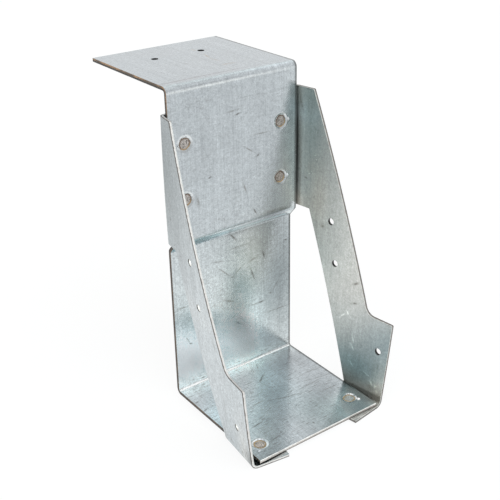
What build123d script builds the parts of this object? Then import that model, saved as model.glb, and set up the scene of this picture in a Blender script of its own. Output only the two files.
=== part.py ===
from build123d import *
from math import atan2, cos, degrees, radians, sin, tan
import os

# Top flange joist hanger for masonry: a folded centre strap with a side plate spot welded to
# each edge. The front is -Y, the wall stands on the +Y side, and the joist runs along Y.
# The origin is the middle of the flat top face of the seat. Lengths are in millimetres.

# Sheet steel and the inner radii of its folds
sheet = 2.5
side_sheet = 2.0
strap_bend = 1.8
rear_fold_bend = 1.6
base_fold_bend = 3.0

# Centre strap. A reach is measured forward from the wall face, and a height from the seat.
strap_width = 101.9
hanger_height = 225.0
flange_reach = 86.5
seat_reach = 99.5
joggle_offset = 6.4
joggle_top = 119.0
joggle_rise = 7.2

# Nail holes in the flange
nail_hole = 5.0
flange_nail_reach = 56.3
flange_nail_spacing = 37.4
flange_nail_shift = -1.0

# Side plates, drawn as a flat blank: run is the distance forward along the web
side_drop = 17.4
blank_turn = 10.0
blank_inset = 2.25
right_top_run = 22.5
left_top_run = 20.8
neck_run = 20.1
neck_clearance = 0.3
root_setback = 21.0
ear_height = 58.3
ear_overhang = 1.0
base_setback = 1.3
base_length = 34.1
root_radius = 8.0
corner_radius = 1.0

# How far the web's inner face stands off the strap's edge, and how it splays, at three levels
seat_gap = 3.5
seat_splay = 6.0
waist_gap = 1.0
waist_splay = 8.1
top_gap = 1.7
top_splay = 9.9

# Returns that are welded behind the back and under the seat
rear_return = 27.0
right_base_return = 23.5
left_base_return = 21.5
base_droop = 2.5

# Staggered nail holes in the side plates, as run and height
right_nails = [(40.6, 116.5), (46.3, 86.3), (seat_reach - 8.3, 34.9)]
left_nails = [(41.5, 121.7), (48.6, 92.2), (seat_reach - 14.1, 20.8)]

# Spot welds: a sunken disc inside a raised rim, and a bead of splashed metal beside it
weld_disc = 9.0
weld_depth = 0.45
weld_rim = 0.8
weld_rim_height = 0.3
weld_bead = 1.5
weld_bead_height = 0.8

# Back welds as inset from the strap's edge and drop from its top, seat welds as inset and
# setback from the seat's front edge
right_back_welds = [(13.6, 38.9), (14.3, 79.2)]
left_back_welds = [(11.4, 38.2), (10.5, 76.4)]
right_seat_weld = (10.9, 16.0)
left_seat_weld = (10.1, 13.7)

# Places that follow from the sizes above
half_width = strap_width / 2
wall_y = (seat_reach + sheet + strap_bend) / 2
lower_back_y = wall_y - sheet / 2
joggle_bottom = joggle_top - joggle_rise
upper_back_y = lower_back_y - joggle_offset
upper_front_y = upper_back_y - sheet / 2
upper_rear_y = upper_back_y + sheet / 2
seat_front_y = wall_y - seat_reach
strap_mid_bend = strap_bend + sheet / 2
joggle_turn = atan2(joggle_offset, joggle_rise)
joggle_end = joggle_top + strap_mid_bend * tan(joggle_turn / 2)
side_top = hanger_height - side_drop
neck_height = joggle_end + neck_clearance
base_run = seat_reach - base_setback
fold_reach = wall_y - upper_rear_y
blank_margin = 6 * side_sheet
web_low = -4 * side_sheet
web_levels = [
    (web_low, seat_reach, seat_gap, seat_splay),
    ((web_low + side_top) / 2, fold_reach, waist_gap, waist_splay),
    (side_top, fold_reach, top_gap, top_splay),
]
turn_sin = sin(radians(blank_turn))
turn_cos = cos(radians(blank_turn))
droop_sin = sin(radians(base_droop))
droop_cos = cos(radians(base_droop))
blank_plane = Plane(
    origin=(half_width - blank_inset, wall_y, 0),
    x_dir=(turn_sin, -turn_cos, 0),
    z_dir=(-turn_cos, -turn_sin, 0),
)
rear_plane = Plane.XZ.offset(-upper_rear_y)
rim_crest = weld_disc / 2 + weld_rim
rim_fall = degrees(atan2(weld_rim, weld_rim_height))
disc_fall = degrees(atan2(weld_rim, weld_depth + weld_rim_height))
bead_fall = degrees(atan2(weld_bead / 2, weld_bead_height))
bead_centre = rim_crest + weld_bead


def web_x(reach, height):
    """Distance of the web's inner face from the middle, through the three levels."""
    low, waist, top = [
        half_width + gap + tan(radians(splay)) * (reach - start)
        for _, start, gap, splay in web_levels
    ]
    share = (height - web_low) / (side_top - web_low)
    return (
        low * (2 * share - 1) * (share - 1)
        + waist * 4 * share * (1 - share)
        + top * share * (2 * share - 1)
    )


def base_plane(base_return):
    """Top face of a base return: it touches the seat along its free end and droops outward."""
    return Plane(
        origin=(half_width - base_return, seat_front_y, -sheet),
        x_dir=(turn_cos * droop_cos, turn_sin * droop_cos, -droop_sin),
        z_dir=(turn_cos * droop_sin, turn_sin * droop_sin, droop_cos),
    )


def base_weld_plane(side, base_return, seat_weld):
    """The same face on the right (1) or left (-1), with its origin right below the seat weld."""
    inset, setback = seat_weld
    across = (base_return - inset) * turn_cos + setback * turn_sin
    drop = across * droop_sin / droop_cos
    return Plane(
        origin=(side * (half_width - inset), seat_front_y + setback, -sheet - drop),
        z_dir=(side * turn_cos * droop_sin, turn_sin * droop_sin, droop_cos),
    )


def side_plate(nails, top_run, base_return, back_welds, seat_weld):
    """Right side plate: a splayed web with a return behind the back and one under the seat."""
    with BuildPart() as plate:
        # Web: a thin slab that opens out towards the front and stands up towards the top
        for height, start, gap, splay in web_levels:
            slope = tan(radians(splay))
            skin = side_sheet / cos(radians(splay))
            near = half_width + gap - slope * start
            far = near + slope * (seat_reach + blank_margin)
            with BuildSketch(Plane.XY.offset(height)):
                with BuildLine():
                    Polyline(
                        (near, wall_y),
                        (far, seat_front_y - blank_margin),
                        (far + skin, seat_front_y - blank_margin),
                        (near + skin, wall_y),
                        close=True,
                    )
                make_face()
        loft()

        # Rear return, against the back of the strap
        fold_z = (neck_height + side_top) / 2
        fold_x = web_x(fold_reach, fold_z)
        with BuildSketch(rear_plane):
            with BuildLine():
                Polyline(
                    (half_width - rear_return, neck_height - blank_margin),
                    (fold_x + side_sheet / 2, neck_height - blank_margin),
                    (fold_x + side_sheet / 2, side_top),
                    (half_width - rear_return, side_top),
                    close=True,
                )
            make_face()
        extrude(amount=-side_sheet)

        # Base return, under the seat
        under_seat = base_plane(base_return)
        base_z = -sheet - side_sheet
        base_ends = []
        for reach in (seat_reach + blank_margin, seat_reach - base_length - blank_margin):
            web_end = Vector(web_x(reach, base_z) + side_sheet / 2, wall_y - reach, base_z)
            base_ends.append(under_seat.to_local_coords(web_end))
        with BuildSketch(under_seat):
            with BuildLine():
                Polyline(
                    (0, base_ends[0].Y),
                    (base_ends[0].X, base_ends[0].Y),
                    (base_ends[1].X, base_ends[1].Y),
                    (0, base_ends[1].Y),
                    close=True,
                )
            make_face()
        extrude(amount=-side_sheet)

        # The blank's outline and nail holes, punched through the sheet
        with BuildSketch(blank_plane) as blank:
            with BuildLine():
                Polyline(
                    (-rear_return, side_top),
                    (top_run, side_top),
                    (seat_reach - root_setback, ear_height),
                    (seat_reach + ear_overhang, ear_height),
                    (base_run, -blank_margin),
                    (base_run - base_length, -blank_margin),
                    (base_run - base_length, 0),
                    (neck_run, neck_height),
                    (-rear_return, neck_height),
                    close=True,
                )
            make_face()
            for corner, radius in (
                ((top_run, side_top), corner_radius),
                ((seat_reach - root_setback, ear_height), root_radius),
                ((seat_reach + ear_overhang, ear_height), corner_radius),
            ):
                fillet(blank.vertices().sort_by_distance(corner)[0], radius=radius)
            with Locations(*nails):
                Circle(nail_hole / 2, mode=Mode.SUBTRACT)
        extrude(amount=strap_width, both=True, mode=Mode.INTERSECT)
        split(bisect_by=rear_plane.offset(-side_sheet), keep=Keep.TOP)
        split(bisect_by=under_seat.offset(-side_sheet), keep=Keep.TOP)

        # Folds: the inner and outer corner of each return are rounded about one centre
        base_reach = seat_reach - base_length / 2
        base_x = web_x(base_reach, base_z)
        for corner, radius in (
            ((fold_x, upper_rear_y, fold_z), rear_fold_bend),
            ((fold_x + side_sheet, upper_rear_y + side_sheet, fold_z), rear_fold_bend + side_sheet),
            ((base_x, wall_y - base_reach, -sheet - side_sheet / 2), base_fold_bend),
            ((base_x + side_sheet, wall_y - base_reach, base_z - side_sheet), base_fold_bend + side_sheet),
        ):
            fillet(plate.edges().sort_by_distance(corner)[0], radius=radius)

        # Marks of the welding tip on the outer faces of the returns
        tips = [base_weld_plane(1, base_return, seat_weld).offset(-side_sheet)]
        for inset, drop in back_welds:
            tips.append(
                Plane(
                    origin=(half_width - inset, upper_rear_y + side_sheet, hanger_height - drop),
                    z_dir=(0, -1, 0),
                )
            )
        for tip in tips:
            with BuildSketch(tip):
                Circle(weld_disc / 2)
            extrude(amount=weld_depth, mode=Mode.SUBTRACT)
    return plate.part


os.makedirs("parts", exist_ok=True)

# Where each spot weld sits on the strap: its face, and the direction of the splashed bead
welds = []
for side, back_welds, seat_weld in (
    (1, right_back_welds, right_seat_weld),
    (-1, left_back_welds, left_seat_weld),
):
    for inset, drop in back_welds:
        welds.append(
            Plane(
                origin=(side * (half_width - inset), upper_front_y, hanger_height - drop),
                x_dir=(side, 0, 0),
                z_dir=(0, -1, 0),
            )
        )
    inset, setback = seat_weld
    welds.append(
        Plane(
            origin=(side * (half_width - inset), seat_front_y + setback, 0),
            x_dir=(side, -1, 0),
            z_dir=(0, 0, 1),
        )
    )

# Centre strap: wall flange, upper back, joggle, lower back and seat, folded from one sheet
with BuildPart() as centre_strap:
    with BuildSketch(Plane.YZ):
        with BuildLine():
            FilletPolyline(
                (wall_y + flange_reach, hanger_height - sheet / 2),
                (upper_back_y, hanger_height - sheet / 2),
                (upper_back_y, joggle_top),
                (lower_back_y, joggle_bottom),
                (lower_back_y, -sheet / 2),
                (seat_front_y, -sheet / 2),
                radius=strap_mid_bend,
            )
        trace(line_width=sheet)
    extrude(amount=half_width, both=True)

    # Nail holes through the flange
    with BuildSketch(Plane.XY.offset(hanger_height)):
        with Locations((flange_nail_shift, wall_y + flange_nail_reach)):
            with GridLocations(flange_nail_spacing, 0, 2, 1):
                Circle(nail_hole / 2)
    extrude(amount=-sheet, mode=Mode.SUBTRACT)

    # Weld metal that bridges the narrow wedge between the seat and each base return
    for side, base_return, seat_weld in (
        (1, right_base_return, right_seat_weld),
        (-1, left_base_return, left_seat_weld),
    ):
        with BuildSketch(base_weld_plane(side, base_return, seat_weld)):
            Circle(weld_disc / 2)
        extrude(amount=sheet / 2)

    # Spot welds: a rim squeezed up around each disc, the disc pressed in, and one bead beside it
    for weld in welds:
        with BuildSketch(weld):
            Circle(rim_crest + weld_rim)
        extrude(amount=weld_rim_height, taper=rim_fall)
        with BuildSketch(weld.offset(weld_rim_height)):
            Circle(rim_crest)
        extrude(amount=-weld_rim_height - weld_depth, taper=disc_fall, mode=Mode.SUBTRACT)
        with BuildSketch(weld):
            with Locations((bead_centre, 0)):
                Circle(weld_bead)
        extrude(amount=weld_bead_height, taper=bead_fall)
centre_strap.part.label = "centre_strap"
export_step(centre_strap.part, "parts/centre_strap.step")

right_folded = side_plate(
    right_nails, right_top_run, right_base_return, right_back_welds, right_seat_weld
)
with BuildPart() as right_side_plate:
    add(right_folded)
right_side_plate.part.label = "right_side_plate"
export_step(right_side_plate.part, "parts/right_side_plate.step")

left_folded = side_plate(left_nails, left_top_run, left_base_return, left_back_welds, left_seat_weld)
with BuildPart() as left_side_plate:
    mirror(left_folded, about=Plane.YZ)
left_side_plate.part.label = "left_side_plate"
export_step(left_side_plate.part, "parts/left_side_plate.step")
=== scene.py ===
"""Looks of the galvanised joist hanger: finish of the sheets, their cut edges and the spot welds."""

import math

import bmesh
import bpy
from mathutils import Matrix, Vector


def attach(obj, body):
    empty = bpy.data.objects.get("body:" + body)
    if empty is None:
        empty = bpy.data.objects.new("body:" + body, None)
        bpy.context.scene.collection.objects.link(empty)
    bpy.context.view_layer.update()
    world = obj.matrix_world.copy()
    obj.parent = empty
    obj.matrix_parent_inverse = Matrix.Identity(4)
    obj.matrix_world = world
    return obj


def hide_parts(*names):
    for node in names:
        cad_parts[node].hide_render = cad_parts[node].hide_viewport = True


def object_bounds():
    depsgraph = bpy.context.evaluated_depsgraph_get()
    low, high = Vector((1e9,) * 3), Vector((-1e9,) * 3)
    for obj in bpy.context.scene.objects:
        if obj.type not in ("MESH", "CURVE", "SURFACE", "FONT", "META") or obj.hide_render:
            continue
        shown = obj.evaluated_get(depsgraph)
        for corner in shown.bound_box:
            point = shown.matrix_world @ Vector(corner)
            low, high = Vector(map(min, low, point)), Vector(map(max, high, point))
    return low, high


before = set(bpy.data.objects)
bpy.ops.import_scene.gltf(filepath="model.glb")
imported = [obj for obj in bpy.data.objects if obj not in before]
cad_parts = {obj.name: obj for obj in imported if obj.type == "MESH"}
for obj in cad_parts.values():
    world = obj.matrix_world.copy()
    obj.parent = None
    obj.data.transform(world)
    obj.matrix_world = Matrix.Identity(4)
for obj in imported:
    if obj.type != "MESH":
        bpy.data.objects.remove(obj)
cad_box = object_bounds()
MM = 0.001

# Faces that meet at less than this are one smooth surface
SMOOTH_ANGLE = math.radians(30)
# Slots of a dressed sheet's materials
SKIN, CUT, SLIT_SIDE, HOLE = range(4)

# Spot welds on the strap's visible face: middle in millimetres, how far it is browned, the side of its
# ring that turned golden and, on back welds, of the rim's painted shade, and how bright its disc is
WELDS = (
    ((37.35, 43.0, 186.1), 0.6, (0.6, 0.0, -0.8), 1.0),
    ((36.65, 43.0, 145.8), 0.7, (0.5, 0.0, -0.85), 1.0),
    ((-39.55, 43.0, 186.8), 0.4, (0.3, 0.0, -0.95), 1.0),
    ((-40.45, 43.0, 148.6), 0.4, (0.3, 0.0, -0.95), 1.0),
    ((40.05, -31.6, 0.0), 1.0, (-0.7, 0.7, 0.0), 2.2),
    ((-40.85, -33.9, 0.0), 0.8, (-0.4, 0.9, 0.0), 1.5),
)


class Tree:
    """Short names for the few node kinds that the materials use."""

    def __init__(self, tree):
        self.tree = tree

    def add(self, kind, inputs=None, out=0, **settings):
        made = self.tree.nodes.new(kind)
        for name, value in settings.items():
            setattr(made, name, value)
        for key, value in (inputs or {}).items():
            self.put(made.inputs[key], value)
        return made.outputs[out]

    def put(self, socket, value):
        if isinstance(value, bpy.types.NodeSocket):
            self.tree.links.new(value, socket)
        elif isinstance(value, (tuple, list)) and socket.type == "RGBA" and len(value) == 3:
            socket.default_value = (*value, 1.0)
        else:
            socket.default_value = value

    def maths(self, operation, a, b=0.0, c=0.0, clamp=False):
        return self.add("ShaderNodeMath", {0: a, 1: b, 2: c}, operation=operation, use_clamp=clamp)

    def vector(self, operation, a, b=(0, 0, 0), out=0):
        return self.add("ShaderNodeVectorMath", {0: a, 1: b}, out=out, operation=operation)

    def stretch(self, vector, scale):
        return self.vector("MULTIPLY", vector, scale)

    def noise(self, vector, scale, detail=4.0, rough=0.5, lump=0.0):
        return self.add(
            "ShaderNodeTexNoise",
            {"Vector": vector, "Scale": scale, "Detail": detail, "Roughness": rough, "Distortion": lump},
        )

    def span(self, value, low, high, to_low=0.0, to_high=1.0, smooth=True):
        return self.add(
            "ShaderNodeMapRange",
            {"Value": value, "From Min": low, "From Max": high, "To Min": to_low, "To Max": to_high},
            interpolation_type="SMOOTHSTEP" if smooth else "LINEAR",
        )

    def mix(self, share, a, b, blend="MIX"):
        made = self.tree.nodes.new("ShaderNodeMix")
        made.data_type = "RGBA"
        made.blend_type = blend
        self.put(made.inputs[0], share)
        self.put(made.inputs[6], a)
        self.put(made.inputs[7], b)
        return made.outputs[2]

    def parts(self, vector):
        made = self.tree.nodes.new("ShaderNodeSeparateXYZ")
        self.put(made.inputs[0], vector)
        return made.outputs


def blank_material(name):
    """A material with a bare shader, and object coordinates to place its patterns by."""
    made = bpy.data.materials.new(name)
    made.use_nodes = True
    made.node_tree.nodes.clear()
    tree = Tree(made.node_tree)
    shader = made.node_tree.nodes.new("ShaderNodeBsdfPrincipled")
    surface = made.node_tree.nodes.new("ShaderNodeOutputMaterial")
    made.node_tree.links.new(shader.outputs[0], surface.inputs[0])
    place = tree.add("ShaderNodeTexCoord", out=3)
    return made, tree, shader, place


def blot(tree, place, centre, spread):
    """A soft-edged patch, 1 in its middle: centre and spread in millimetres."""
    offset = tree.vector("SUBTRACT", place, [c * MM for c in centre])
    away = tree.vector("MULTIPLY", offset, [1 / (r * MM) for r in spread])
    square = tree.vector("DOT_PRODUCT", away, away, out=1)
    return tree.maths("EXPONENT", tree.maths("MULTIPLY", square, -1.0))


STROKE_SOFTNESS = 0.65


def stroke(tree, place, centre, half, width):
    """A scratch or a streak of dirt, 1 along its middle and soft at its ends."""
    turn = (0.0, -math.atan2(half[2], math.hypot(half[0], half[1])), math.atan2(half[1], half[0]))
    thick = STROKE_SOFTNESS * width * MM
    size = (Vector(half).length * MM, thick, thick)
    local = tree.add(
        "ShaderNodeMapping",
        {"Vector": place, "Location": [c * MM for c in centre], "Rotation": turn, "Scale": size},
        vector_type="TEXTURE",
    )
    square = tree.vector("DOT_PRODUCT", local, local, out=1)
    return tree.maths("EXPONENT", tree.maths("MULTIPLY", square, -1.0))


def tone(tree, light, share, tint):
    """Light multiplied by a tint, by its share."""
    return tree.mix(share, light, tint, "MULTIPLY")


def zinc(name, streak, scuff, metal, base, patina_and_light, marks, welds=(), lip=0.0):
    """Galvanised skin: clouds, rolling lines, grain, smudges, scratches, patina with painted light and
    shade, and weld stains.
    """
    made, tree, shader, place = blank_material(name)
    clouds = tree.noise(place, 34.0, 4.0, 0.6, 0.5)
    mottle = tree.noise(place, 210.0, 4.0, 0.65, 0.5)
    freckle = tree.noise(place, 480.0, 3.0, 0.6, 0.4)
    grain = tree.noise(place, 1000.0, 2.0, 0.6)
    lines = tree.noise(tree.stretch(place, streak), 1.0, 4.0, 0.7)
    wide = tree.noise(tree.stretch(place, [0.22 * v for v in streak]), 1.0, 2.0, 0.5)

    gain = tree.span(clouds, 0.25, 0.75, 0.95, 1.05, smooth=False)
    for pattern, depth in ((mottle, 0.06), (freckle, 0.15), (grain, 0.19), (lines, 0.14), (wide, 0.04)):
        factor = tree.span(pattern, 0.25, 0.75, 1 - depth, 1 + depth, smooth=False)
        gain = tree.maths("MULTIPLY", gain, factor)
    light = tree.add("ShaderNodeVectorMath", {0: base, 3: gain}, operation="SCALE")
    # Soft patches of tint: partly patina, partly painted light, painted shade and painted reflections
    for centre, spread, tint in patina_and_light:
        light = tone(tree, light, blot(tree, place, centre, spread), tint)

    # Small dark smudges in loose groups
    where = tree.span(tree.noise(place, 40.0, 3.0, 0.6), 0.55, 0.65)
    specks = tree.span(tree.noise(place, 300.0, 3.0, 0.7, 1.6), 0.61, 0.68)
    smudge = tree.maths("MULTIPLY", where, specks)
    light = tone(tree, light, tree.maths("MULTIPLY", smudge, 0.6), (0.42, 0.38, 0.34))

    # Short scuffs across the sheet, strongest on the seat
    dashes = tree.span(tree.noise(tree.stretch(place, scuff), 1.0, 3.0, 0.65), 0.56, 0.64)
    across, _, up = tree.parts(place)
    worn = tree.span(up, 0.004, 0.010, 0.9, 0.2)
    light = tone(tree, light, tree.maths("MULTIPLY", dashes, worn), (0.55, 0.52, 0.50))
    # Darker band along the strap's right-hand side edge
    if lip:
        outer = tree.span(across, (lip - 2.1) * MM, (lip - 0.9) * MM)
        light = tone(tree, light, outer, (0.40, 0.39, 0.38))

    # Scratches and streaks of dirt, broken up along their length
    broken = tree.span(freckle, 0.40, 0.52, 0.25, 1.0)
    for kind, strokes in marks.items():
        share = 0.0
        for centre, half, width in strokes:
            share = tree.maths("ADD", share, stroke(tree, place, centre, half, width))
        light = tone(tree, light, tree.maths("MULTIPLY", share, broken, clamp=True), MARK_KINDS[kind])

    rough = tree.span(clouds, 0.3, 0.7, 0.18, 0.26)
    rough = tree.maths("ADD", rough, tree.maths("MULTIPLY", smudge, 0.15))

    height = tree.maths("ADD", tree.maths("MULTIPLY", mottle, 0.05), tree.maths("MULTIPLY", lines, 0.06))
    height = tree.maths("ADD", height, tree.maths("MULTIPLY", grain, 0.02))
    height = tree.maths("ADD", height, tree.noise(place, 16.0, 1.0, 0.5))

    # Spot welds: crinkled grey disc, ring that runs from dark brown to gold, bright squeezed rim, which on
    # the back welds has painted shade on its golden side
    crinkle = tree.noise(place, 1300.0, 3.0, 0.7, 0.8)
    face = tree.mix(tree.span(crinkle, 0.40, 0.58), (0.13, 0.115, 0.10), (0.60, 0.575, 0.56))
    for middle, brown, golden, bright in welds:
        centre = [c * MM for c in middle]
        far = tree.vector("DISTANCE", place, centre, out=1)
        far = tree.maths("ADD", far, tree.span(mottle, 0.3, 0.7, -0.0003, 0.0003))
        aside = tree.vector("DOT_PRODUCT", tree.vector("SUBTRACT", place, centre), golden, out=1)
        gold = tree.span(aside, 0.0006, 0.0030, bright - 1.0, brown)
        disc = tree.span(far, 0.0045, 0.0041)
        ring = tree.maths("MULTIPLY", disc, tree.span(far, 0.0031, 0.0037))
        rim = tree.maths("MULTIPLY", tree.span(far, 0.0043, 0.0047), tree.span(far, 0.0064, 0.0052))
        tan = [bright * v for v in (1.0, 1 - 0.12 * brown, 1 - 0.22 * brown)]
        tanned = tone(tree, face, 1.0, tan)
        light = tree.mix(tree.maths("MULTIPLY", disc, 0.85), light, tanned)
        burnt = tree.mix(gold, (0.16, 0.11, 0.08), (0.74, 0.50, 0.22))
        light = tree.mix(tree.maths("MULTIPLY", ring, 0.85), light, burnt)
        # Painted shade: on the back welds the rim turns dark on its golden side
        shaded = tree.span(aside, -0.002, 0.004) if golden[2] else 0.0
        squeezed = tree.mix(shaded, (0.86, 0.89, 0.90), (0.36, 0.38, 0.39))
        light = tree.mix(tree.maths("MULTIPLY", rim, 0.75), light, squeezed)
        rough = tree.maths("ADD", rough, tree.maths("MULTIPLY", disc, 0.18))
        wrinkled = tree.maths("MULTIPLY", disc, crinkle)
        height = tree.maths("ADD", height, tree.maths("MULTIPLY", wrinkled, 0.7))

    tree.put(shader.inputs["Base Color"], light)
    tree.put(shader.inputs["Roughness"], rough)
    tree.put(shader.inputs["Metallic"], metal)
    bump = tree.add("ShaderNodeBump", {"Strength": 1.0, "Distance": 0.0003, "Height": height})
    tree.put(shader.inputs["Normal"], bump)
    return made


def cut_edge(name, skin, burnished, torn, start, turn):
    """Sheared edge, from the inner skin to the outer: rolled-over lip, burnished band, torn band, whose
    tones also carry painted highlight and shade.
    """
    made, tree, shader, place = blank_material(name)
    across = tree.add("ShaderNodeAttribute", out=2, attribute_name="across")
    ragged = tree.noise(place, 500.0, 3.0, 0.6)
    across = tree.maths("ADD", across, tree.span(ragged, 0.3, 0.7, -0.06, 0.06))
    light = tree.mix(tree.span(across, start - 0.12, start + 0.06), skin, burnished)
    share = tree.span(across, turn - 0.05, turn + 0.08)
    light = tree.mix(share, light, torn)
    light = tone(tree, light, tree.span(ragged, 0.4, 0.75, 0.0, 0.5), (0.72, 0.68, 0.64))
    tree.put(shader.inputs["Base Color"], light)
    tree.put(shader.inputs["Metallic"], tree.span(share, 0.0, 1.0, 0.5, 0.7))
    tree.put(shader.inputs["Roughness"], tree.span(share, 0.0, 1.0, 0.4, 0.55))
    return made


def slit_edge(name):
    """Side edges of the strap, slit from the coil: near black as painted shade of the narrow gap beside the
    side plates, with rust along the lip.
    """
    made, tree, shader, place = blank_material(name)
    across = tree.add("ShaderNodeAttribute", out=2, attribute_name="across")
    ragged = tree.noise(place, 420.0, 4.0, 0.65)
    across = tree.maths("ADD", across, tree.span(ragged, 0.3, 0.7, -0.1, 0.1))
    spots = tree.span(tree.noise(place, 60.0, 3.0, 0.6), 0.40, 0.60, 0.25, 1.0)
    rust = tree.maths("MULTIPLY", tree.span(across, 0.55, 0.35), spots)
    near_top = tree.span(tree.parts(place)[2], 0.200, 0.222, 0.35, 1.0)
    rust = tree.maths("MULTIPLY", rust, near_top)
    # Painted shade: the near-black tone stands for the shade in the gap beside the side plates
    light = tree.mix(tree.span(ragged, 0.35, 0.65), (0.022, 0.019, 0.017), (0.085, 0.076, 0.068))
    light = tree.mix(rust, light, (0.33, 0.20, 0.11))
    tree.put(shader.inputs["Base Color"], light)
    tree.put(shader.inputs["Metallic"], 0.5)
    tree.put(shader.inputs["Roughness"], tree.span(ragged, 0.3, 0.7, 0.42, 0.6))
    return made


def hole_wall(name, inside, outside):
    """Punched wall of a nail hole, from its lip on the inner skin to the one on the outer, in tones of
    painted light and shade.
    """
    made, tree, shader, place = blank_material(name)
    across = tree.add("ShaderNodeAttribute", out=2, attribute_name="across")
    ragged = tree.noise(place, 700.0, 3.0, 0.6)
    light = tree.mix(tree.span(across, 0.62, 0.82), inside, outside)
    light = tone(tree, light, tree.span(ragged, 0.35, 0.65, 0.0, 0.6), (0.5, 0.48, 0.46))
    tree.put(shader.inputs["Base Color"], light)
    tree.put(shader.inputs["Metallic"], 0.0)
    tree.put(shader.inputs["Specular IOR Level"], 0.15)
    tree.put(shader.inputs["Roughness"], tree.span(ragged, 0.3, 0.7, 0.45, 0.65))
    return made


def smooth_groups(bm, limit):
    """Numbers each face by the smooth surface that it lies in, and measures those surfaces."""
    group = {}
    areas = []
    for seed in bm.faces:
        if seed in group:
            continue
        number = len(areas)
        group[seed] = number
        areas.append(0.0)
        front = [seed]
        while front:
            face = front.pop()
            areas[number] += face.calc_area()
            for edge in face.edges:
                if len(edge.link_faces) != 2 or edge.calc_face_angle(3.2) > limit:
                    continue
                for other in edge.link_faces:
                    if other not in group:
                        group[other] = number
                        front.append(other)
    return group, areas


def near_weld(point, reach):
    """Whether a point lies within a reach, in millimetres, of a spot weld on the strap."""
    return any((point / MM - Vector(w[0])).length < reach for w in WELDS)


def dress(node, name, skin, edge, hole, inner_probe):
    """A copy of the node with its skins and cut edges told apart, smooth over its bends."""
    strap = node == "centre_strap"
    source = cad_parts[node].data
    bm = bmesh.new()
    bm.from_mesh(source)
    bmesh.ops.remove_doubles(bm, verts=bm.verts, dist=2e-6)
    bm.normal_update()
    group, areas = smooth_groups(bm, SMOOTH_ANGLE)
    largest = sorted(range(len(areas)), key=lambda g: -areas[g])[:2]
    probe = Vector(inner_probe) * MM
    skins = (f for f in bm.faces if group[f] in largest)
    nearest = min(skins, key=lambda f: (f.calc_center_median() - probe).length)
    inner = group[nearest]
    across = bm.verts.layers.float.new("across")
    for vert in bm.verts:
        touched = {group[f] for f in vert.link_faces}
        vert[across] = 0.0 if inner in touched else 1.0
    for face in bm.faces:
        area = areas[group[face]]
        centre = face.calc_center_median()
        edge_face = group[face] not in largest
        if edge_face and strap and near_weld(centre, WELD_REACH):
            edge_face = False
        if edge_face and not strap and area < TIP_PRINT_AREA:
            edge_face = not (centre.y > RETURN_REAR * MM or centre.z < RETURN_BOTTOM * MM)
        kind = CUT if edge_face else SKIN
        if edge_face and strap and abs(face.normal.x) > 0.5:
            kind = SLIT_SIDE
        if any(abs(area - wall) < 0.5 * MM * MM for wall in HOLE_WALLS):
            kind = HOLE
        face.material_index = kind
        face.smooth = True
    mesh = bpy.data.meshes.new(name)
    bm.to_mesh(mesh)
    bm.free()
    mesh.set_sharp_from_angle(angle=SMOOTH_ANGLE)
    for material in (skin, edge, SLIT_EDGE_SHADE_AND_RUST, hole):
        mesh.materials.append(material)
    piece = bpy.data.objects.new(name, mesh)
    bpy.context.scene.collection.objects.link(piece)
    weighted = piece.modifiers.new("bend_shading", "WEIGHTED_NORMAL")
    weighted.keep_sharp = True
    weighted.weight = 100
    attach(piece, "root")
    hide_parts(node)
    return piece


# A weld's forms reach this far on the strap, in millimetres. The returns of the plates, beyond these
# places, carry the prints of the welding tip, whose surfaces are smaller than this area.
WELD_REACH = 9.0
RETURN_REAR = 46.0
RETURN_BOTTOM = -4.2
TIP_PRINT_AREA = 70 * MM * MM
# Areas of the walls of the 5 mm nail holes, in the 2 mm plates and in the 2.5 mm strap
HOLE_WALLS = [math.pi * 5 * sheet * MM * MM for sheet in (2.0, 2.5)]
# Painted shade: the hole walls in the strap and the right plate are near black as shade in the hole; in the
# left plate the wall's inner lip is painted light
HOLE_WALL_PAINTED_SHADE = hole_wall("hole_wall_painted_shade", (0.012, 0.011, 0.011), (0.05, 0.047, 0.045))
LEFT_HOLE_WALL_PAINTED_LIGHT = hole_wall("left_hole_wall_painted_light", (0.95, 0.94, 0.92), (0.05, 0.047, 0.045))
SLIT_EDGE_SHADE_AND_RUST = slit_edge("slit_edge")
# The edges' tones differ by part as painted light and shade: the right plate's lip is a painted highlight,
# the left plate's lip painted shade and its burnished band painted light
STRAP_EDGE = cut_edge("seat_edge", (0.80, 0.80, 0.79), (0.52, 0.49, 0.47), (0.26, 0.23, 0.21), 0.30, 0.75)
LEFT_EDGE = cut_edge("left_edge", (0.50, 0.51, 0.51), (0.62, 0.60, 0.59), (0.16, 0.152, 0.147), 0.28, 0.64)
RIGHT_EDGE = cut_edge("right_edge", (0.62, 0.62, 0.60), (0.20, 0.19, 0.18), (0.13, 0.12, 0.115), 0.22, 0.60)

# Half of the strap's width in millimetres
STRAP_SIDE = 50.95

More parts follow.
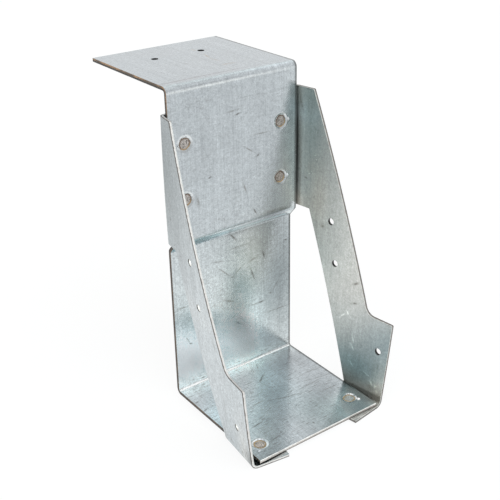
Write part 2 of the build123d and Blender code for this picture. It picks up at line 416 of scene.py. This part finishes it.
# Soft patches of tint: centre and spread in millimetres, tint. The first 14 of the strap's, all of
# the left plate's and the first 8 of the right plate's come from a least-squares fit of a render to
# the photograph, so they are partly painted light, shade and reflections, and not the coating's tones
# alone.
# The strap's rows at (41, -31, 0) and (50, -30, 0) stand twice by mistake, and the looks count both.
STRAP_PATINA_AND_PAINTED_LIGHT = (
    ((-23, 49, 26), (114, 11, 74), (1.65, 1.65, 1.59)),
    ((45, -42, 0), (26, 15, 29), (1.65, 1.65, 1.65)),
    ((-42, 49, 24), (31, 15, 20), (1.65, 1.65, 1.65)),
    ((45, -42, 0), (25, 15, 30), (1.65, 1.65, 1.65)),
    ((36, 52, 70), (28, 7, 54), (0.34, 0.37, 0.38)),
    ((-30, -35, 0), (17, 21, 29), (1.65, 1.65, 1.65)),
    ((45, -42, 0), (26, 15, 19), (1.65, 1.65, 1.65)),
    ((48, 40, 147), (8, 7, 51), (1.65, 1.65, 1.6)),
    ((-12, -12, 0), (16, 20, 17), (1.65, 1.65, 1.65)),
    ((21, -32, -3), (30, 26, 20), (0.41, 0.44, 0.43)),
    ((18, 49, 88), (20, 8, 24), (1.65, 1.56, 1.48)),
    ((46, -41, 0), (26, 16, 18), (1.65, 1.65, 1.65)),
    ((10, 45, 25), (16, 88, 47), (1.55, 1.65, 1.65)),
    ((-46, 9, 0), (12, 13, 22), (1.34, 1.43, 1.44)),
    ((41, -31, 0), (9, 7, 2), (1.60, 1.60, 1.58)),
    ((50, -30, 0), (6, 14, 2), (1.42, 1.44, 1.44)),
    ((-28, 49, 22), (24, 8, 20), (0.82, 0.82, 0.83)),
    ((12, 36, 0), (34, 12, 5), (0.78, 0.77, 0.77)),
    ((41, -31, 0), (9, 7, 2), (1.40, 1.40, 1.38)),
    ((50, -30, 0), (6, 14, 2), (1.30, 1.32, 1.32)),
)
# Painted highlights and painted shade: fine bright and dark lines along the bends, set after the photograph
FOLD_HIGHLIGHTS_AND_SHADE = (
    ((-28, 51.6, 225), (45, 0.9, 1), (0.75, 0.70, 0.70)),
    ((0, 45.8, 224.7), (90, 1.0, 1), (1.22, 1.27, 1.25)),
    ((-20, 43.4, 222.5), (45, 1, 0.5), (0.85, 0.84, 0.84)),
    ((-20, 43.1, 221.1), (60, 2, 0.7), (1.50, 1.46, 1.41)),
    ((12, 43, 120.2), (36, 1, 0.8), (0.72, 0.75, 0.75)),
    ((32, 43.4, 118.4), (20, 0.9, 1.1), (0.60, 0.62, 0.64)),
    ((-30, 43.4, 118.4), (26, 1.0, 1.0), (1.50, 1.55, 1.50)),
    ((25, 46.2, 115.2), (18, 1.5, 1.6), (1.10, 1.22, 1.20)),
    ((42, 46.8, 114.2), (10, 1.4, 1.6), (1.40, 1.45, 1.45)),
    ((-38, 46.2, 115.2), (28, 2.4, 2.6), (1.70, 2.30, 2.40)),
    ((-30, 48.8, 112.0), (28, 1.0, 1.0), (1.60, 1.60, 1.60)),
    ((7, 49.4, 110.0), (15, 1.0, 1.5), (0.72, 0.72, 0.72)),
    ((35, 45.0, 224.5), (28, 0.9, 1), (1.18, 1.18, 1.20)),
    ((0, 48.4, 0.2), (90, 0.6, 0.5), (1.7, 1.66, 1.62)),
    ((0, 49.3, 1.0), (90, 0.5, 0.7), (0.80, 0.76, 0.76)),
)
LEFT_PATINA_AND_PAINTED_LIGHT = (
    ((-63, 49, 184), (15, 34, 91), (0.33, 0.35, 0.35)),
    ((-52, -61, -17), (7, 42, 42), (0.46, 0.52, 0.55)),
    ((-56, -49, 2), (7, 7, 8), (0.33, 0.33, 0.33)),
    ((-51, -17, 88), (11, 97, 10), (1.18, 1.16, 1.14)),
    ((-57, -40, 0), (14, 8, 25), (1.31, 1.23, 1.16)),
)
RIGHT_PATINA_AND_PAINTED_LIGHT = (
    ((54, -20, 15), (138, 37, 20), (0.33, 0.44, 0.47)),
    ((55, 32, 212), (8, 26, 140), (0.33, 0.41, 0.42)),
    ((55, -25, 1), (9, 79, 9), (0.37, 0.36, 0.33)),
    ((62, -53, 39), (119, 37, 27), (0.51, 0.61, 0.66)),
    ((56, 25, 134), (48, 8, 22), (1.41, 1.29, 1.22)),
    ((51, 52, 122), (15, 16, 9), (1.65, 1.45, 1.33)),
    ((53, 44, 190), (24, 22, 7), (1.25, 1.3, 1.37)),
    ((56, -46, 9), (22, 8, 22), (1.65, 1.52, 1.45)),
    # Painted shade in the inner crease of the right plate's rear fold, beside the strap's edge
    ((53, 44.8, 165), (1.2, 1.5, 60), (0.05, 0.05, 0.05)),
)
# Marks on the coating in millimetres: middle, half of its length as a vector, width
MARK_KINDS = {
    "stain": (0.90, 0.72, 0.56),
    "grime": (0.30, 0.27, 0.25),
    "faint": (0.54, 0.51, 0.48),
    "bright": (1.9, 1.9, 1.86),
}
STRAP_MARKS = {
    "stain": (
        ((14.3, 112.5, 225), (0.8, -2.6, 0), 1),
        ((12.1, 92.2, 225), (-1, -4.6, 0), 1),
        ((10.6, 80.9, 225), (0.5, -4, 0), 0.9),
        ((9.5, 66.4, 225), (2.3, -0.2, 0), 1.2),
        ((14.3, 65.8, 225), (2.5, -0.4, 0), 1.2),
    ),
    "grime": (
        ((1.7, 43, 198.1), (2.4, 0, 0.5), 0.8),
        ((17.8, 43, 166.2), (1.3, 0, 0.8), 0.9),
        ((-21.6, 43, 159.7), (1.2, 0, 0.4), 0.9),
        ((14.5, 43, 125.9), (1.3, 0, -2.2), 0.9),
        ((-0.2, 49.3, 107.9), (3, 0.1, -3.6), 1),
        ((-1.1, 49.4, 76.6), (1.3, 0, 0), 0.9),
        ((16.1, 49.4, 73.8), (1.7, 0, -4.7), 1.1),
        ((26.3, 49.4, 86.4), (0.9, 0, -3.1), 1.2),
        ((32.4, 49.4, 52.5), (0.9, 0, -0.3), 1.2),
        ((23.9, 49.4, 47.8), (1.9, 0, 0.2), 1),
        ((-1.3, 49.4, 44), (1.4, 0, 0.4), 0.9),
        ((2.6, 49.4, 37.1), (2.7, 0, -2.3), 0.8),
        ((-39, 49.4, 35.5), (1.2, 0, -0.5), 1),
        ((-30.8, 49.4, 3), (2.6, 0, -0.2), 0.9),
        ((47, 49.4, 91.9), (1.4, 0, -0.4), 0.9),
        ((3.1, 23.9, 0), (2.7, 1.1, 0), 0.9),
        ((6.7, 26.8, 0), (2.8, 1.9, 0), 0.8),
        ((1.7, -38, 0), (0.6, -0.5, 0), 1.3),
        ((-29.8, -16.5, 0), (4.7, 0.6, 0), 0.8),
        ((-48.2, 19, 0), (2.7, 0.9, 0), 0.8),
    ),
    "faint": (
        ((-10.1, 84.6, 225), (1.1, -4.4, 0), 0.7),
        ((-1, 43, 201), (5.2, 0, 0.3), 0.8),
        ((10.4, 43, 171.8), (4.5, 0, -3.1), 0.7),
        ((-31.7, 43, 145), (1, 0, -4.2), 1.6),
        ((6.4, 43, 145.1), (1.2, 0, -3.6), 1),
        ((21.4, 43, 181), (5.4, 0, -0.1), 0.7),
        ((32.6, 43, 121.3), (11.6, 0, -0.1), 2.2),
        ((4.8, 49.4, 99), (7.4, 0, 0.1), 0.8),
        ((-13.9, 49.4, 92.6), (4.2, 0, -0.9), 0.8),
        ((-8.3, 49.4, 82.5), (5, 0, -4.8), 0.8),
        ((4.3, 49.4, 80.9), (4, 0, 2.7), 0.8),
        ((16.3, 49.4, 85.1), (3.6, 0, 1.3), 1.2),
        ((37.6, 49.4, 57.9), (-2.4, 0, -3), 0.8),
        ((19.3, 49.4, 47.7), (5.5, 0, -0.2), 0.8),
        ((38.5, 49.4, 36.6), (11, 0, -0.4), 0.7),
        ((-41.4, 49.4, 39.3), (1.9, 0, -3.6), 0.8),
        ((-44.3, 49.4, 66.5), (4.1, 0, -0.3), 0.8),
        ((-5.6, 49.4, 58.5), (4.3, 0, -1.9), 1.2),
        ((-16.4, 2.6, 0), (5.8, 0.7, 0), 0.7),
        ((-1.7, -1.3, 0), (5.6, -2.1, 0), 0.8),
        ((10.9, -4.9, 0), (7, -1.6, 0), 0.8),
        ((28.7, -1.5, 0), (8.8, 0.4, 0), 0.7),
        ((39.6, 11.2, 0), (5.9, -0.4, 0), 0.8),
        ((41.2, 0.9, 0), (8.3, -1.5, 0), 0.6),
        ((-29.6, -35.7, 0), (4.3, 0.7, 0), 0.8),
        ((11.9, 39.4, 0), (-2.2, -4.2, 0), 0.8),
        ((35.3, -13.7, 0), (6.4, -0.3, 0), 0.6),
    ),
}
LEFT_MARKS = {
    "grime": (
        ((-56.2, 38, 141.4), (0, 0.2, -1.1), 1),
    ),
    "faint": (
        ((-60.7, -13.8, 73.2), (0.1, -1.3, -3.8), 0.7),
        ((-57.5, -18.4, 29.2), (0.7, -0.9, -7.7), 0.6),
    ),
}
RIGHT_MARKS = {
    "grime": (
        ((59, -13.4, 77.6), (0.4, -2.5, 1.3), 1.3),
        ((57.9, -13.8, 62.5), (0.5, -3, 1.2), 1.2),
        ((54.5, 36.3, 142.9), (0.2, -1.4, -0.4), 1),
    ),
    "faint": (
        ((56.1, 19.5, 111), (0.3, -1.8, 0.2), 2.2),
        ((53.7, 40.5, 195.3), (0.3, -1.3, -5.7), 1.6),
    ),
    "bright": (
        ((55.3, -16.3, 29.2), (0, -1.6, -1.7), 1),
        ((54, -16.8, 16.3), (0.2, -3.1, -1.9), 0.8),
        ((55.5, -32.6, 13.8), (0.3, -3.4, -0.9), 0.7),
        ((55.7, -41.5, 7.1), (-0.2, -1.4, -3), 1.6),
        ((55.4, -36.7, 8.8), (0, -1.2, -1.5), 1.6),
        ((56.6, -9.5, 52.9), (0.1, -2.6, -2.2), 0.8),
        ((55.7, -4.7, 49.7), (0.4, -1.7, 1.9), 0.8),
        ((55.8, -16.5, 34.9), (-0.1, -0.8, -2.1), 0.8),
    ),
}

# Scales of the rolling lines and of the scuffs per axis, then metallic share and base colour
STRAP_SKIN = zinc(
    "strap_zinc",
    streak=(1100.0, 16.0, 16.0),
    scuff=(110.0, 1200.0, 1200.0),
    metal=1.0,
    base=(0.482, 0.522, 0.547),
    patina_and_light=STRAP_PATINA_AND_PAINTED_LIGHT + FOLD_HIGHLIGHTS_AND_SHADE,
    marks=STRAP_MARKS,
    welds=WELDS,
    lip=STRAP_SIDE,
)
LEFT_SKIN = zinc(
    "left_zinc",
    streak=(700.0, 700.0, 12.0),
    scuff=(700.0, 700.0, 90.0),
    metal=1.0,
    base=(0.570, 0.617, 0.637),
    patina_and_light=LEFT_PATINA_AND_PAINTED_LIGHT,
    marks=LEFT_MARKS,
)
RIGHT_SKIN = zinc(
    "right_zinc",
    streak=(500.0, 500.0, 30.0),
    scuff=(400.0, 400.0, 400.0),
    metal=0.5,
    base=(0.573, 0.569, 0.548),
    patina_and_light=RIGHT_PATINA_AND_PAINTED_LIGHT,
    marks=RIGHT_MARKS,
)

dress("centre_strap", "strap_sheet", STRAP_SKIN, STRAP_EDGE, HOLE_WALL_PAINTED_SHADE, (0, 0, 0))
dress("left_side_plate", "left_sheet", LEFT_SKIN, LEFT_EDGE, LEFT_HOLE_WALL_PAINTED_LIGHT, (-56, 10, 150))
dress("right_side_plate", "right_sheet", RIGHT_SKIN, RIGHT_EDGE, HOLE_WALL_PAINTED_SHADE, (56, 10, 150))



def sees_ground(tree, rays):
    """1 where the camera, a mirror or a clear material looks, which all see the white ground."""
    clear = tree.maths("MAXIMUM", rays["Is Glossy Ray"], rays["Is Transmission Ray"])
    return tree.maths("MAXIMUM", rays["Is Camera Ray"], clear)


# Floor, which stays white and keeps a soft shadow
low = cad_box[0].z
bpy.ops.mesh.primitive_plane_add(size=12.0, location=(0, 0, low - 0.0001))
floor = bpy.context.object
floor.name = "floor"
paint = bpy.data.materials.new("floor_white")
paint.use_nodes = True
paint.node_tree.nodes.clear()
tree = Tree(paint.node_tree)
rays = paint.node_tree.nodes.new("ShaderNodeLightPath").outputs
seen = sees_ground(tree, rays)
matt = tree.add("ShaderNodeBsdfDiffuse", {"Color": (0.86, 0.86, 0.86)})
glow = tree.add("ShaderNodeEmission", {"Color": (1.0, 1.0, 1.0), "Strength": 1.0})
share = tree.maths("MULTIPLY", seen, 0.85)
both = tree.add("ShaderNodeMixShader", {0: share, 1: matt, 2: glow})
surface = paint.node_tree.nodes.new("ShaderNodeOutputMaterial")
paint.node_tree.links.new(both, surface.inputs[0])
floor.data.materials.append(paint)

# Studio surroundings: a white ground to look at and to mirror, and soft screens that light the rest
AROUND = (0.01, 0.01, 0.01)
SCREENS = (
    # azimuth and elevation in degrees, tightness, light
    (-129.0, 18.0, 6.3, (2.47, 2.79, 2.68)),
    (-88.0, 17.0, 5.3, (2.19, 2.15, 2.12)),
    (-80.0, 50.0, 7.9, (0.93, 1.24, 1.29)),
    (-171.0, 13.0, 5.5, (1.24, 1.11, 1.03)),
    (3.0, 57.0, 7.3, (1.17, 1.05, 0.98)),
    (47.0, 15.0, 6.7, (0.85, 1.01, 1.06)),
    (-140.0, 54.0, 10.4, (0.82, 0.69, 0.75)),
    (84.0, 2.0, 8.5, (0.26, 0.34, 0.45)),
    (135.0, 20.0, 4.0, (0.40, 0.42, 0.44)),
)
world = bpy.data.worlds.new("surroundings")
bpy.context.scene.world = world
world.use_nodes = True
world.node_tree.nodes.clear()
tree = Tree(world.node_tree)
way = tree.add("ShaderNodeTexCoord", out=0)
rays = world.node_tree.nodes.new("ShaderNodeLightPath").outputs
light = AROUND
for azimuth, elevation, tight, colour in SCREENS:
    az, el = math.radians(azimuth), math.radians(elevation)
    aim = (math.cos(az) * math.cos(el), math.sin(az) * math.cos(el), math.sin(el))
    near = tree.vector("DOT_PRODUCT", way, aim, out=1)
    fall = tree.maths("EXPONENT", tree.maths("MULTIPLY", tree.maths("SUBTRACT", near, 1.0), tight))
    lit = tree.add("ShaderNodeVectorMath", {0: colour, 3: fall}, operation="SCALE")
    light = tree.vector("ADD", light, lit)
seen = sees_ground(tree, rays)
white = tree.mix(seen, light, (1.0, 1.0, 1.0))
back = tree.add("ShaderNodeBackground", {"Color": white, "Strength": 1.0})
surface = world.node_tree.nodes.new("ShaderNodeOutputWorld")
world.node_tree.links.new(back, surface.inputs[0])

# Camera of the photograph
lens = bpy.data.cameras.new("camera")
lens.sensor_width = 36.0
lens.lens = 63.98
lens.clip_start = 0.01
camera = bpy.data.objects.new("camera", lens)
bpy.context.scene.collection.objects.link(camera)
camera.location = (-0.318984, -0.411516, 0.374093)
camera.rotation_euler = (1.112211, 0.016868, -0.634328)
bpy.context.scene.camera = camera
bpy.context.scene.view_settings.view_transform = "Standard"
